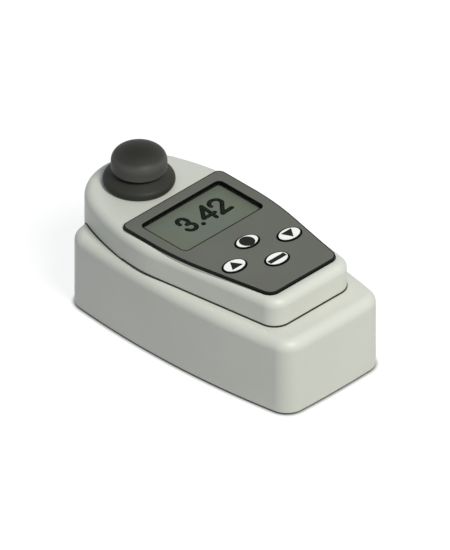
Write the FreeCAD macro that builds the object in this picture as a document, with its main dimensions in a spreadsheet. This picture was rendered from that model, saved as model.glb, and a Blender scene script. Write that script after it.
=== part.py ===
import FreeCAD, Part
import math
import os

import Sketcher

# Portable turbidimeter: low rounded base, stepped upper housing with a keypad panel and a
# sample well under a domed light shield. X is across, -Y faces the user, +Z is up.
# The origin is under the middle of the housing, on the plane the rubber feet stand on.

SIZES = {
    # base block
    "foot_proud": 1.0,
    "base_height": 41.4,
    "base_front": 80.1,
    "base_front_radius": 650.0,
    "base_back_corner_at": 65.6,
    "base_half_width": 41.35,
    "base_widest_at": 13.0,
    "base_side_radius": 480.0,
    "base_back_radius": 158.7,
    "base_front_corner": 10.5,
    "base_back_corner": 10.6,
    "base_rim_radius": 5.6,
    "case_wall": 2.5,
    "deck_thickness": 2.5,
    "deck_opening_margin": 0.3,
    "deck_opening_front": 44.0,
    "deck_opening_back": 20.0,
    # upper housing: steps back from the base block, and narrows by the taper to its front
    "upper_height": 15.4,
    "upper_front_step": 14.3,
    "upper_side_step": 3.25,
    "upper_taper": 11.5,
    "upper_widest_at": 14.4,
    "upper_side_radius": 130.0,
    "upper_back": 80.5,
    "upper_front_corner": 9.3,
    "upper_waist_blend": 60.0,
    "upper_rim_radius": 4.6,
    "upper_skin": 3.6,
    "seam_gap": 0.6,
    "gasket_inset": 0.5,
    "gasket_width": 1.6,
    "column_front": 30.0,
    "column_gap": 0.35,
    "fit_gap": 0.15,
    # keypad panel
    "panel_proud": 1.4,
    "panel_thickness": 3.0,
    "panel_gap": 0.35,
    "panel_front_margin": 6.6,
    "panel_side_margin": 3.9,
    "panel_corner_margin": 3.4,
    "panel_back": 34.6,
    "panel_waist_at": -4.8,
    "panel_waist_blend": 150.0,
    "panel_front_corner": 5.7,
    "panel_back_corner": 3.9,
    "panel_edge_round": 0.3,
    "ledge_width": 2.0,
    # display
    "window_side_margin": 6.95,
    "window_depth": 31.2,
    "window_at": 12.0,
    "window_corner": 2.7,
    "window_recess": 1.6,
    "lens_margin": 1.5,
    "lens_thickness": 1.2,
    "lcd_air": 0.35,
    "lcd_margin": 0.6,
    "lcd_thickness": 2.2,
    "lcd_frame_wall": 1.6,
    "zebra_width": 2.0,
    # keys
    "key_length": 13.2,
    "key_width": 9.1,
    "key_proud": 0.5,
    "key_gap": 0.4,
    "key_flange": 0.9,
    "key_flange_height": 0.8,
    "key_edge_round": 0.3,
    "key_travel": 0.7,
    "side_key_margin": 15.2,
    "side_key_y": -29.3,
    "rear_key_y": -19.1,
    "front_key_y": -39.8,
    "switch_width": 6.0,
    "switch_height": 3.5,
    "stem_radius": 1.7,
    "stem_bore_radius": 1.85,
    "stem_depth": 1.1,
    "dome_thickness": 0.15,
    # circuit board
    "board_under": 5.6,
    "board_thickness": 1.6,
    "board_front_margin": 10.8,
    "board_back": 28.0,
    "board_corner_margin": 2.6,
    "board_side_margin": 9.1,
    "standoff_radius": 2.3,
    "standoff_rear_margin": 13.5,
    "standoff_front_margin": 8.1,
    "standoff_inset": 4.0,
    "standoff_spare": 0.5,
    "board_screw_radius": 1.2,
    "board_screw_head": 2.2,
    "board_screw_head_height": 1.5,
    "board_screw_length": 4.0,
    # screws between deck and upper housing
    "boss_radius": 2.7,
    "boss_spare": 0.3,
    "boss_rear_y": 22.0,
    "boss_corner_margin": 5.1,
    "boss_front_margin": 6.8,
    "case_screw_radius": 1.3,
    "case_screw_head": 2.7,
    "case_screw_head_height": 1.8,
    "case_screw_length": 9.5,
    "screw_gap": 0.3,
    "pilot_gap": 0.03,
    "pilot_spare": 1.0,
    "cross_length": 3.0,
    "cross_width": 0.7,
    "cross_depth": 0.8,
    # bottom cover and feet
    "cover_thickness": 3.0,
    "post_radius": 3.4,
    "post_side_margin": 6.85,
    "post_rear_y": 8.0,
    "post_front_x": 14.0,
    "post_front_margin": 6.5,
    "foot_radius": 5.0,
    "foot_socket": 1.2,
    "foot_gap": 0.05,
    "foot_edge": 0.5,
    "foot_side_margin": 15.35,
    "foot_front_margin": 13.1,
    "foot_rear_margin": 26.35,
    "foot_rear_y": 64.0,
    # batteries
    "cell_radius": 7.2,
    "cell_length": 50.0,
    "cell_pitch": 15.0,
    "cell_gap": 0.3,
    "cell_nub_radius": 2.6,
    "cell_nub_height": 1.2,
    "battery_at": -28.0,
    "tray_wall": 1.2,
    "contact_thickness": 0.4,
    "contact_height": 11.5,
    "spring_length": 4.0,
    "spring_wire": 0.4,
    "spring_radius": 3.0,
    "door_flange": 2.0,
    "door_lip": 1.0,
    "door_flange_height": 0.9,
    "door_travel": 5.0,
    "door_gap": 0.2,
    "door_overlap": 1.5,
    "grip_length": 22.0,
    "grip_margin": 7.2,
    "grip_width": 0.9,
    "grip_depth": 0.5,
    "grip_pitch": 2.2,
    "grip_count": 5,
    # sample well
    "well_offset": 55.8,
    "well_floor": 2.0,
    "well_radius": 16.0,
    "well_bore": 12.4,
    "well_mouth_bore": 13.9,
    "well_mouth_depth": 12.0,
    "well_neck": 15.6,
    "well_flange": 19.0,
    "well_flange_height": 2.0,
    "well_gasket": 0.6,
    "optic_height": 24.0,
    "optic_bore": 2.6,
    "holder_radius": 4.5,
    "holder_length": 9.0,
    "holder_seat": 2.0,
    "led_radius": 2.5,
    "led_length": 5.2,
    "led_rim": 0.5,
    "lens_radius": 2.5,
    "lens_edge": 0.8,
    "lens_crown": 0.9,
    "optic_gap": 0.05,
    # vial
    "vial_radius": 12.0,
    "vial_wall": 1.3,
    "vial_rim_depth": 0.8,
    "vial_neck_radius": 9.0,
    "vial_neck_height": 9.5,
    "vial_corner": 1.5,
    "cap_radius": 12.1,
    "cap_height": 11.2,
    "cap_top": 2.3,
    "cap_bore_gap": 0.2,
    "liner_thickness": 1.2,
    "cap_ribs": 28,
    "rib_radius": 0.6,
    "rib_depth": 0.35,
    "rib_end": 1.6,
    # light shield
    "seal_height": 0.5,
    "seal_width": 2.0,
    "seal_inset": 0.5,
    "shield_flange": 17.93,
    "shield_flange_at": 2.4,
    "shield_bead": 2.6,
    "shield_neck": 11.6,
    "shield_neck_at": 7.6,
    "knob_radius": 13.93,
    "knob_under": 8.7,
    "knob_side": 4.3,
    "knob_dome": 8.1,
    "knob_shoulder": 5.6,
    "knob_edge_round": 0.6,
    "skirt_radius": 13.6,
    "skirt_inner": 12.5,
    "skirt_depth": 6.0,
    "shield_hollow": 9.4,
    "shield_cap_room": 4.2,
    "shield_throat": 4.0,
    "shield_hollow_top": 16.6,
    # sensor board
    "sensor_board_width": 26.0,
    "sensor_board_height": 24.0,
    "sensor_board_thickness": 1.2,
    "ribbon_width": 12.0,
    "ribbon_thickness": 0.4,
    "ribbon_bend": 2.5,
    "ribbon_drop": 3.0,
    "ribbon_lap": 4.0,
}

doc = FreeCAD.newDocument("turbidimeter")
sheet = doc.addObject("Spreadsheet::Sheet", "size")
for row, (alias, value) in enumerate(SIZES.items(), start=1):
    sheet.set(f"A{row}", alias)
    sheet.set(f"B{row}", str(value))
    sheet.setAlias(f"B{row}", alias)
doc.recompute()

# Levels, as heights above the plane the feet stand on.
DECK = "(size.foot_proud + size.base_height)"
UPPER_FLOOR = f"({DECK} + size.seam_gap)"
UPPER_TOP = f"({DECK} + size.upper_height)"
SKIN_UNDER = f"({UPPER_TOP} - size.upper_skin)"
PANEL_TOP = f"({UPPER_TOP} + size.panel_proud)"
PANEL_FLOOR = f"({PANEL_TOP} - size.panel_thickness)"
COVER_TOP = "(size.foot_proud + size.cover_thickness)"
BOARD_FLOOR = f"({DECK} + size.board_under)"
BOARD_TOP = f"({BOARD_FLOOR} + size.board_thickness)"
LENS_TOP = f"({PANEL_TOP} - size.window_recess)"
LENS_FLOOR = f"({LENS_TOP} - size.lens_thickness)"
LCD_FLOOR = f"({LENS_FLOOR} - size.lcd_air - size.lcd_thickness)"
WELL_BORE_FLOOR = f"({COVER_TOP} + size.well_floor)"
VIAL_HEIGHT = f"({UPPER_TOP} - size.vial_rim_depth - {WELL_BORE_FLOOR})"

# Lines of the upper housing and its panel, which follow the base block.
UPPER_HALF = "(size.base_half_width - size.upper_side_step)"
UPPER_FRONT = "(size.base_front - size.upper_front_step)"
UPPER_FRONT_HALF = f"({UPPER_HALF} - size.upper_taper)"
PANEL_HALF = f"({UPPER_HALF} - size.panel_side_margin)"
PANEL_FRONT = f"({UPPER_FRONT} - size.panel_front_margin)"
PANEL_FRONT_HALF = f"({UPPER_FRONT_HALF} - size.panel_corner_margin)"
WINDOW_HALF = f"({PANEL_HALF} - size.window_side_margin)"
WINDOW_FRONT = "(size.window_at - size.window_depth / 2)"
WINDOW_BACK = "(size.window_at + size.window_depth / 2)"

UP = FreeCAD.Vector(0, 0, 1)
ALONG_X = FreeCAD.Rotation(FreeCAD.Vector(0, 1, 0), 90)
ALONG_Y = FreeCAD.Rotation(FreeCAD.Vector(1, 0, 0), -90)
TINY = 0.01
PAST = "1"  # how far a cutting shape runs past what it cuts
NODES = {}


def number(expression):
    """Value of a sheet expression."""
    return float(sheet.evalExpression(expression))


def bind(item, sizes):
    for key, expression in sizes.items():
        item.setExpression(key, expression)
    return item


def node(name, item):
    """Give a finished sub-part its label and put it on the list of files."""
    item.Label = name
    NODES[name] = item
    return item


def new_body(name):
    return doc.addObject("PartDesign::Body", name)


def closed_sketch(body, name, corners, level):
    """Closed outline: corners are (x, y, radius), radius bending the side that follows outwards."""
    sketch = body.newObject("Sketcher::SketchObject", name)
    plane = [item for item in body.Origin.OriginFeatures if item.Role == "XY_Plane"][0]
    sketch.AttachmentSupport = (plane, [""])
    sketch.MapMode = "FlatFace"
    sketch.setExpression("AttachmentOffset.Base.z", level)
    points = [FreeCAD.Vector(number(x), number(y), 0) for x, y, radius in corners]
    add_outline(sketch, points, corners)
    return sketch


def add_outline(sketch, points, corners):
    """Sides from point to point, tied to the expressions in corners: (x, y, radius of the side)."""
    count = len(corners)
    for index, (x, y, radius) in enumerate(corners):
        start, end = points[index], points[(index + 1) % count]
        if radius:
            chord = end - start
            height = math.sqrt(number(radius) ** 2 - (chord.Length / 2) ** 2)
            centre = (start + end) / 2 + UP.cross(chord).normalize() * height
            circle = Part.Circle(centre, UP, number(radius))
            first = math.atan2(start.y - centre.y, start.x - centre.x)
            last = math.atan2(end.y - centre.y, end.x - centre.x)
            sketch.addGeometry(Part.ArcOfCircle(circle, first, last), False)
        else:
            sketch.addGeometry(Part.LineSegment(start, end), False)
    for index, (x, y, radius) in enumerate(corners):
        before = (index - 1) % count
        sketch.addConstraint(Sketcher.Constraint("Coincident", before, 2, index, 1))
        for kind, place, value in (("DistanceX", x, points[index].x), ("DistanceY", y, points[index].y)):
            line = sketch.addConstraint(Sketcher.Constraint(kind, -1, 1, index, 1, value))
            sketch.setExpression(f"Constraints[{line}]", place)
        if radius:
            line = sketch.addConstraint(Sketcher.Constraint("Radius", index, number(radius)))
            sketch.setExpression(f"Constraints[{line}]", radius)


def pad(body, name, corners, bottom, height):
    sketch = closed_sketch(body, name + "_sketch", corners, bottom)
    feature = body.newObject("PartDesign::Pad", name)
    feature.Profile = sketch
    feature.setExpression("Length", height)
    doc.recompute()
    return feature


def pocket(body, name, corners, top, depth):
    """Cut downwards from the level top."""
    volume = body.Shape.Volume
    sketch = closed_sketch(body, name + "_sketch", corners, top)
    feature = body.newObject("PartDesign::Pocket", name)
    feature.Profile = sketch
    feature.setExpression("Length", depth)
    doc.recompute()
    if feature.Shape.Volume >= volume:
        raise RuntimeError(f"{name} cuts nothing")
    return feature


def round_edges(body, name, radius, chosen):
    """Fillet the edges of the body that the test chosen picks."""
    base = body.Tip
    names = [f"Edge{i}" for i, edge in enumerate(base.Shape.Edges, start=1) if chosen(edge)]
    if not names:
        raise RuntimeError(f"{name} found no edge")
    feature = body.newObject("PartDesign::Fillet", name)
    feature.Base = (base, names)
    feature.setExpression("Radius", radius)
    doc.recompute()
    return feature


def upright_at(x, y):
    """Test for the upright edges at x, y and at the mirrored place."""
    place_x, place_y = abs(number(x)), number(y)

    def chosen(edge):
        ends = [vertex.Point for vertex in edge.Vertexes]
        if len(ends) != 2 or abs(ends[0].z - ends[1].z) < TINY:
            return False
        return all(abs(abs(end.x) - place_x) < TINY and abs(end.y - place_y) < TINY for end in ends)

    return chosen


def flat_at(level):
    """Test for every edge that lies in the level."""
    height = number(level)

    def chosen(edge):
        box = edge.BoundBox
        return abs(box.ZMin - height) < TINY and abs(box.ZMax - height) < TINY

    return chosen


def both_sides(right, sides, rear="", front=""):
    """Outline from its right half, front to back; sides holds the radius after each corner."""
    corners = [(x, y, radius) for (x, y), radius in zip(right, sides + [rear])]
    mirrored = list(reversed(right))
    for (x, y), radius in zip(mirrored, list(reversed(sides)) + [front]):
        corners.append((f"-({x})", y, radius))
    return corners


def rectangle(half_x, front, back):
    return both_sides([(half_x, front), (half_x, back)], [""])


def base_corner_places(inset):
    centre = "(size.base_half_width - size.base_side_radius)"
    radius = f"(size.base_side_radius - {inset})"
    front = f"({inset} - size.base_front)"
    back = f"(size.base_back_corner_at - {inset})"
    front_x = f"({centre} + sqrt({radius}^2 - ({front} - size.base_widest_at)^2))"
    back_x = f"({centre} + sqrt({radius}^2 - ({back} - size.base_widest_at)^2))"
    return [(front_x, front), (back_x, back)], radius


def base_outline(inset):
    places, radius = base_corner_places(inset)
    return both_sides(places, [radius], "size.base_back_radius", f"(size.base_front_radius - {inset})")


# The tail of the upper housing: a side arc and an end arc that touch, as their centres allow.
SIDE_CENTRE = f"(size.upper_side_radius - {UPPER_HALF})"
TAIL_LENGTH = "(size.upper_back - size.upper_widest_at)"
TAIL_REST = f"(size.upper_side_radius - {TAIL_LENGTH})"
TAIL_CENTRE = f"(({SIDE_CENTRE}^2 - {TAIL_REST}^2) / (2 * {TAIL_REST}))"
TAIL_RADIUS = f"({TAIL_LENGTH} - {TAIL_CENTRE})"
TAIL_REACH = f"sqrt({SIDE_CENTRE}^2 + {TAIL_CENTRE}^2)"
TAPER = f"(size.upper_taper / ({UPPER_FRONT} + size.upper_widest_at))"


def tail_joint(inset):
    reach = f"((size.upper_side_radius - {inset}) / {TAIL_REACH})"
    return (f"({reach} * {SIDE_CENTRE} - {SIDE_CENTRE})",
            f"(size.upper_widest_at + {reach} * {TAIL_CENTRE})")


def upper_corner_places(inset):
    front = f"({inset} - {UPPER_FRONT})"
    front_x = f"({UPPER_FRONT_HALF} + {TAPER} * {inset} - {inset} * sqrt(1 + {TAPER}^2))"
    waist = (f"({UPPER_HALF} - {inset})", "size.upper_widest_at")
    return [(front_x, front), waist, tail_joint(inset)]


def upper_outline(inset):
    sides = ["", f"(size.upper_side_radius - {inset})"]
    return both_sides(upper_corner_places(inset), sides, f"({TAIL_RADIUS} - {inset})")


def column_outline(inset, front):
    radius = f"(size.upper_side_radius - {inset})"
    front_x = f"(sqrt({radius}^2 - ({front} - size.upper_widest_at)^2) - {SIDE_CENTRE})"
    places = [(front_x, front), tail_joint(inset)]
    return both_sides(places, [radius], f"({TAIL_RADIUS} - {inset})")


def panel_corner_places(grow):
    return [(f"({PANEL_FRONT_HALF} + {grow})", f"(-{PANEL_FRONT} - {grow})"),
            (f"({PANEL_HALF} + {grow})", "size.panel_waist_at"),
            (f"({PANEL_HALF} + {grow})", f"(size.panel_back + {grow})")]


def panel_outline(grow):
    return both_sides(panel_corner_places(grow), ["", ""])


def box(name, length, width, height, x, y, z):
    """Box centred on x and y, standing on z."""
    item = doc.addObject("Part::Box", name)
    return bind(item, {
        "Length": length, "Width": width, "Height": height,
        "Placement.Base.x": f"{x} - ({length}) / 2",
        "Placement.Base.y": f"{y} - ({width}) / 2",
        "Placement.Base.z": z,
    })


def cylinder(name, radius, height, x, y, z, turn=None):
    """Cylinder that starts at x, y, z and runs up, or along the turned axis."""
    item = doc.addObject("Part::Cylinder", name)
    if turn:
        item.Placement = FreeCAD.Placement(FreeCAD.Vector(), turn)
    return bind(item, {
        "Radius": radius, "Height": height,
        "Placement.Base.x": x, "Placement.Base.y": y, "Placement.Base.z": z,
    })


def cone(name, radius, end_radius, height, x, y, z):
    item = doc.addObject("Part::Cone", name)
    return bind(item, {
        "Radius1": radius, "Radius2": end_radius, "Height": height,
        "Placement.Base.x": x, "Placement.Base.y": y, "Placement.Base.z": z,
    })


def ball(name, radius, x, y, z):
    item = doc.addObject("Part::Sphere", name)
    return bind(item, {
        "Radius": radius,
        "Placement.Base.x": x, "Placement.Base.y": y, "Placement.Base.z": z,
    })


def oval(name, length, width, height, x, y, z):
    """Upright elliptic prism centred on x and y."""
    curve = doc.addObject("Part::Ellipse", name + "_curve")
    bind(curve, {"MajorRadius": f"({length}) / 2", "MinorRadius": f"({width}) / 2",
                 "Placement.Base.x": x, "Placement.Base.y": y, "Placement.Base.z": z})
    item = doc.addObject("Part::Extrusion", name)
    item.Base = curve
    item.DirMode = "Custom"
    item.Dir = UP
    item.Solid = True
    item.setExpression("LengthFwd", height)
    return item


def cut(name, base, tools):
    """Take the tools away one after the other."""
    for index, tool in enumerate(tools, start=1):
        item = doc.addObject("Part::Cut", name if index == len(tools) else f"{name}_cut{index}")
        item.Base = base
        item.Tool = tool
        base = item
    return base


def fuse(name, shapes):
    item = doc.addObject("Part::MultiFuse", name)
    item.Shapes = shapes
    item.Refine = True
    return item


def group(name, shapes):
    """Several separate solids kept together."""
    item = doc.addObject("Part::Compound", name)
    item.Links = shapes
    return item


def revolved(name, points, x, y, z):
    """Body turned about an upright axis at x, y from a half profile of (radius, height, bend).

    bend is the radius of the side that follows, which bulges outwards, or empty for a straight side.
    """
    body = new_body(name)
    sketch = body.newObject("Sketcher::SketchObject", name + "_profile")
    plane = [item for item in body.Origin.OriginFeatures if item.Role == "XZ_Plane"][0]
    sketch.AttachmentSupport = (plane, [""])
    sketch.MapMode = "FlatFace"
    places = [FreeCAD.Vector(number(r), number(h), 0) for r, h, bend in points]
    add_outline(sketch, places, points)
    feature = body.newObject("PartDesign::Revolution", name + "_turn")
    feature.Profile = sketch
    feature.ReferenceAxis = (sketch, ["V_Axis"])
    feature.Angle = 360
    bind(body, {"Placement.Base.x": x, "Placement.Base.y": y, "Placement.Base.z": z})
    doc.recompute()
    return body


def ring_groove(body, name, reach, radius, height):
    """Round upright groove in the side of a turned body, from its foot up to the height."""
    sketch = body.newObject("Sketcher::SketchObject", name + "_sketch")
    plane = [item for item in body.Origin.OriginFeatures if item.Role == "XY_Plane"][0]
    sketch.AttachmentSupport = (plane, [""])
    sketch.MapMode = "FlatFace"
    centre = FreeCAD.Vector(number(reach), 0, 0)
    sketch.addGeometry(Part.Circle(centre, UP, number(radius)), False)
    for kind, value, place in (("DistanceX", centre.x, reach), ("DistanceY", 0, "0")):
        line = sketch.addConstraint(Sketcher.Constraint(kind, -1, 1, 0, 3, value))
        sketch.setExpression(f"Constraints[{line}]", place)
    line = sketch.addConstraint(Sketcher.Constraint("Radius", 0, number(radius)))
    sketch.setExpression(f"Constraints[{line}]", radius)
    feature = body.newObject("PartDesign::Pocket", name)
    feature.Profile = sketch
    feature.Reversed = True
    feature.setExpression("Length", height)
    volume = body.Shape.Volume
    doc.recompute()
    if feature.Shape.Volume >= volume:
        raise RuntimeError(f"{name} cuts nothing")
    return feature


def four_places(rear_x, rear_y, front_x, front_y):
    """Two mirrored pairs of places, rear then front."""
    return [(f"{sign}{x}", y) for x, y in ((rear_x, rear_y), (front_x, front_y)) for sign in ("", "-")]


BOSSES = four_places(f"({WINDOW_HALF} + size.lcd_margin + size.lcd_frame_wall + size.boss_radius"
                     " + size.boss_spare)", "size.boss_rear_y",
                     f"({UPPER_FRONT_HALF} - size.boss_corner_margin)",
                     f"(size.boss_front_margin - {UPPER_FRONT})")
POSTS = four_places("(size.base_half_width - size.post_side_margin)", "size.post_rear_y",
                    "size.post_front_x", "(size.post_front_margin - size.base_front)")
BOARD_FRONT = f"({UPPER_FRONT} - size.board_front_margin)"
STANDOFFS = four_places(f"({UPPER_HALF} - size.standoff_rear_margin)",
                        f"({WINDOW_FRONT} - size.lcd_margin - size.lcd_frame_wall"
                        " - size.board_screw_head - size.standoff_spare)",
                        f"({UPPER_FRONT_HALF} - size.standoff_front_margin)",
                        f"(size.standoff_inset - {BOARD_FRONT})")
FEET = four_places("(size.base_half_width - size.foot_rear_margin)", "size.foot_rear_y",
                   "(size.base_half_width - size.foot_side_margin)",
                   "(size.foot_front_margin - size.base_front)")
KEYS = {
    "rear": ("0", "size.rear_key_y"),
    "right": (f"({PANEL_HALF} - size.side_key_margin)", "size.side_key_y"),
    "left": (f"(size.side_key_margin - {PANEL_HALF})", "size.side_key_y"),
    "front": ("0", "size.front_key_y"),
}


def screws(name, places, radius, length, head, head_height, seat, direction):
    """Cross-slot screws whose heads bear at the level seat; direction is where the tips point."""
    solids = []
    length = f"({length})"
    head_height = f"({head_height})"
    for index, (x, y) in enumerate(places):
        shank_z = seat if direction > 0 else f"{seat} - {length}"
        head_z = f"{seat} - {head_height}" if direction > 0 else seat
        shank = cylinder(f"{name}_shank{index}", radius, length, x, y, shank_z)
        cap = cylinder(f"{name}_head{index}", head, head_height, x, y, head_z)
        slot_z = head_z if direction > 0 else f"{head_z} + {head_height} - size.cross_depth"
        bar = [box(f"{name}_slot{index}{axis}", across, along, "size.cross_depth", x, y, slot_z)
               for axis, across, along in (("x", "size.cross_length", "size.cross_width"),
                                           ("y", "size.cross_width", "size.cross_length"))]
        screw = fuse(f"{name}_screw{index}", [shank, cap])
        solids.append(cut(f"{name}_one{index}", screw, bar))
    return node(name, group(name, solids))


def rounded_block(name, corners, rounds, bottom, height):
    """Body of an upright block whose corners at (place, radius) in rounds are rounded."""
    body = new_body(name)
    pad(body, name + "_block", corners, bottom, height)
    for index, (place, radius) in enumerate(rounds):
        round_edges(body, f"{name}_round{index}", radius, upright_at(*place))
    return body


def base_block(name, inset, bottom, height):
    places, radius = base_corner_places(inset)
    rounds = [(places[0], f"size.base_front_corner - {inset}"),
              (places[1], f"size.base_back_corner - {inset}")]
    return rounded_block(name, base_outline(inset), rounds, bottom, height)


def upper_block(name, inset, bottom, height):
    places = upper_corner_places(inset)
    rounds = [(places[0], f"size.upper_front_corner - {inset}"),
              (places[1], "size.upper_waist_blend")]
    return rounded_block(name, upper_outline(inset), rounds, bottom, height)


def panel_block(name, grow, bottom, height):
    places = panel_corner_places(grow)
    rounds = [(places[0], f"size.panel_front_corner + {grow}"), (places[1], "size.panel_waist_blend"),
              (places[2], f"size.panel_back_corner + {grow}")]
    return rounded_block(name, panel_outline(grow), rounds, bottom, height)


# Base shell: side walls and deck, open below, notched behind for the sample column.
def make_base_shell():
    body = base_block("base_outside", "0", "size.foot_proud", "size.base_height")
    round_edges(body, "base_rim_round", "size.base_rim_radius", flat_at(DECK))
    roof = f"({DECK} - size.deck_thickness)"
    hollow = base_block("base_hollow", "size.case_wall", "0", roof)
    round_edges(hollow, "base_hollow_rim", "size.base_rim_radius - size.case_wall", flat_at(roof))
    notch_front = "(size.column_front - size.column_gap)"
    notch = new_body("column_notch")
    pad(notch, "column_notch_block", column_outline("(-size.column_gap)", notch_front), "0",
        f"{DECK} + {PAST}")
    opening_half = (f"({UPPER_HALF} - size.standoff_rear_margin - size.standoff_radius"
                    " - size.deck_opening_margin)")
    opening = box("deck_opening", f"2 * {opening_half}",
                  "size.deck_opening_front + size.deck_opening_back", "2 * size.deck_thickness", "0",
                  "(size.deck_opening_back - size.deck_opening_front) / 2",
                  f"{roof} - size.deck_thickness / 2")
    holes = [cylinder(f"deck_screw_hole{index}", "size.case_screw_radius + size.screw_gap",
                      "2 * size.deck_thickness", x, y, f"{roof} - size.deck_thickness / 2")
             for index, (x, y) in enumerate(BOSSES)]
    shell = cut("base_open_shell", body, [hollow, notch, opening] + holes)
    posts = []
    for index, (x, y) in enumerate(POSTS):
        post = cylinder(f"base_post_rod{index}", "size.post_radius", f"{roof} - {COVER_TOP}",
                        x, y, COVER_TOP)
        pilot = cylinder(f"base_post_pilot{index}", "size.case_screw_radius + size.pilot_gap",
                         "size.case_screw_length", x, y, COVER_TOP)
        posts.append(cut(f"base_post{index}", post, [pilot]))
    node("base_shell", fuse("base_shell", [shell] + posts))


# Upper shell: top housing with the tail wall that runs down behind the base.
def make_upper_shell():
    body = upper_block("upper_outside", "0", "size.foot_proud",
                       "size.base_height + size.upper_height")
    round_edges(body, "upper_rim_round", "size.upper_rim_radius", flat_at(UPPER_TOP))
    hollow = upper_block("upper_hollow", "size.case_wall", "0", SKIN_UNDER)
    round_edges(hollow, "upper_hollow_rim", "size.upper_rim_radius - size.upper_skin",
                flat_at(SKIN_UNDER))
    under = box("upper_underside", "2 * size.base_half_width", "size.base_front + size.column_front",
                UPPER_FLOOR, "0", "(size.column_front - size.base_front) / 2", "0")
    opening = panel_block("panel_opening", "(-size.ledge_width)", SKIN_UNDER, "2 * size.upper_skin")
    seat = panel_block("panel_seat", "size.panel_gap", PANEL_FLOOR, "size.panel_thickness")
    shell = cut("upper_open_shell", body, [hollow, under, opening, seat])
    bosses = []
    holes = [cylinder("well_opening", "size.well_neck + size.fit_gap", "size.upper_skin",
                      "0", "size.well_offset", SKIN_UNDER)]
    for index, (x, y) in enumerate(BOSSES):
        bosses.append(cylinder(f"upper_boss{index}", "size.boss_radius", f"{SKIN_UNDER} - {DECK}",
                               x, y, DECK))
        holes.append(cylinder(f"upper_boss_pilot{index}", "size.case_screw_radius + size.pilot_gap",
                              "size.case_screw_length", x, y, DECK))
    with_bosses = fuse("upper_with_bosses", [shell] + bosses)
    node("upper_shell", cut("upper_shell", with_bosses, holes))


def make_case_gasket():
    strip = upper_block("gasket_outside", "size.gasket_inset", DECK, "size.seam_gap")
    inset = "(size.gasket_inset + size.gasket_width)"
    hole = upper_block("gasket_hole", inset, f"{DECK} - {PAST}", f"size.seam_gap + 2 * {PAST}")
    tail_front = "(size.column_front - size.column_gap)"
    tail = box("gasket_tail", f"2 * {UPPER_HALF}", "size.upper_back", f"size.seam_gap + 2 * {PAST}",
               "0", f"{tail_front} + size.upper_back / 2", f"{DECK} - {PAST}")
    node("case_gasket", cut("case_gasket", strip, [hole, tail]))


# Keypad panel with the display window and four oval key openings.
def make_panel():
    body = panel_block("panel_body", "0", PANEL_FLOOR, "size.panel_thickness")
    round_edges(body, "panel_edge", "size.panel_edge_round", flat_at(PANEL_TOP))
    pocket(body, "window", rectangle(WINDOW_HALF, WINDOW_FRONT, WINDOW_BACK), PANEL_TOP,
           "size.panel_thickness")
    round_edges(body, "window_round", "size.window_corner", upright_at(WINDOW_HALF, WINDOW_FRONT))
    round_edges(body, "window_back_round", "size.window_corner", upright_at(WINDOW_HALF, WINDOW_BACK))
    margin = "(size.lens_margin + size.fit_gap)"
    seat = rectangle(f"{WINDOW_HALF} + {margin}", f"{WINDOW_FRONT} - {margin}",
                     f"{WINDOW_BACK} + {margin}")
    pocket(body, "lens_seat", seat, LENS_TOP, f"{LENS_TOP} - {PANEL_FLOOR}")
    holes = [oval(f"{key}_key_hole", "size.key_length + 2 * size.key_gap",
                  "size.key_width + 2 * size.key_gap", "size.panel_thickness", x, y, PANEL_FLOOR)
             for key, (x, y) in KEYS.items()]
    node("keypad_panel", cut("keypad_panel", body, holes))


def make_display():
    body = new_body("display_lens")
    outline = rectangle(f"{WINDOW_HALF} + size.lens_margin", f"{WINDOW_FRONT} - size.lens_margin",
                        f"{WINDOW_BACK} + size.lens_margin")
    pad(body, "lens_plate", outline, LENS_FLOOR, "size.lens_thickness")
    node("display_lens", body)
    width = f"(2 * {WINDOW_HALF} + 2 * size.lcd_margin)"
    depth = "(size.window_depth + 2 * size.lcd_margin)"
    node("lcd_cell", box("lcd_cell", width, depth, "size.lcd_thickness", "0", "size.window_at",
                         LCD_FLOOR))
    rise = f"({LCD_FLOOR} - {BOARD_TOP})"
    outer = box("lcd_frame_outer", f"{width} + 2 * size.lcd_frame_wall",
                f"{depth} + 2 * size.lcd_frame_wall", f"{rise} + size.lcd_thickness", "0",
                "size.window_at", BOARD_TOP)
    seat = box("lcd_frame_seat", f"{width} + 2 * size.fit_gap", f"{depth} + 2 * size.fit_gap",
               "size.lcd_thickness", "0", "size.window_at", LCD_FLOOR)
    inner = box("lcd_frame_inner", f"{width} - 2 * size.lcd_frame_wall",
                f"{depth} - 2 * size.lcd_frame_wall", rise, "0", "size.window_at", BOARD_TOP)
    node("lcd_frame", cut("lcd_frame", outer, [seat, inner]))
    strips = []
    for side, sign in (("front", "-"), ("back", "+")):
        y = (f"size.window_at {sign} ({depth} / 2 - size.lcd_frame_wall"
             " - size.zebra_width / 2 - size.fit_gap)")
        strips.append(box(f"zebra_{side}", f"{width} - 4 * size.lcd_frame_wall", "size.zebra_width",
                          rise, "0", y, BOARD_TOP))
    node("zebra_strips", group("zebra_strips", strips))


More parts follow.
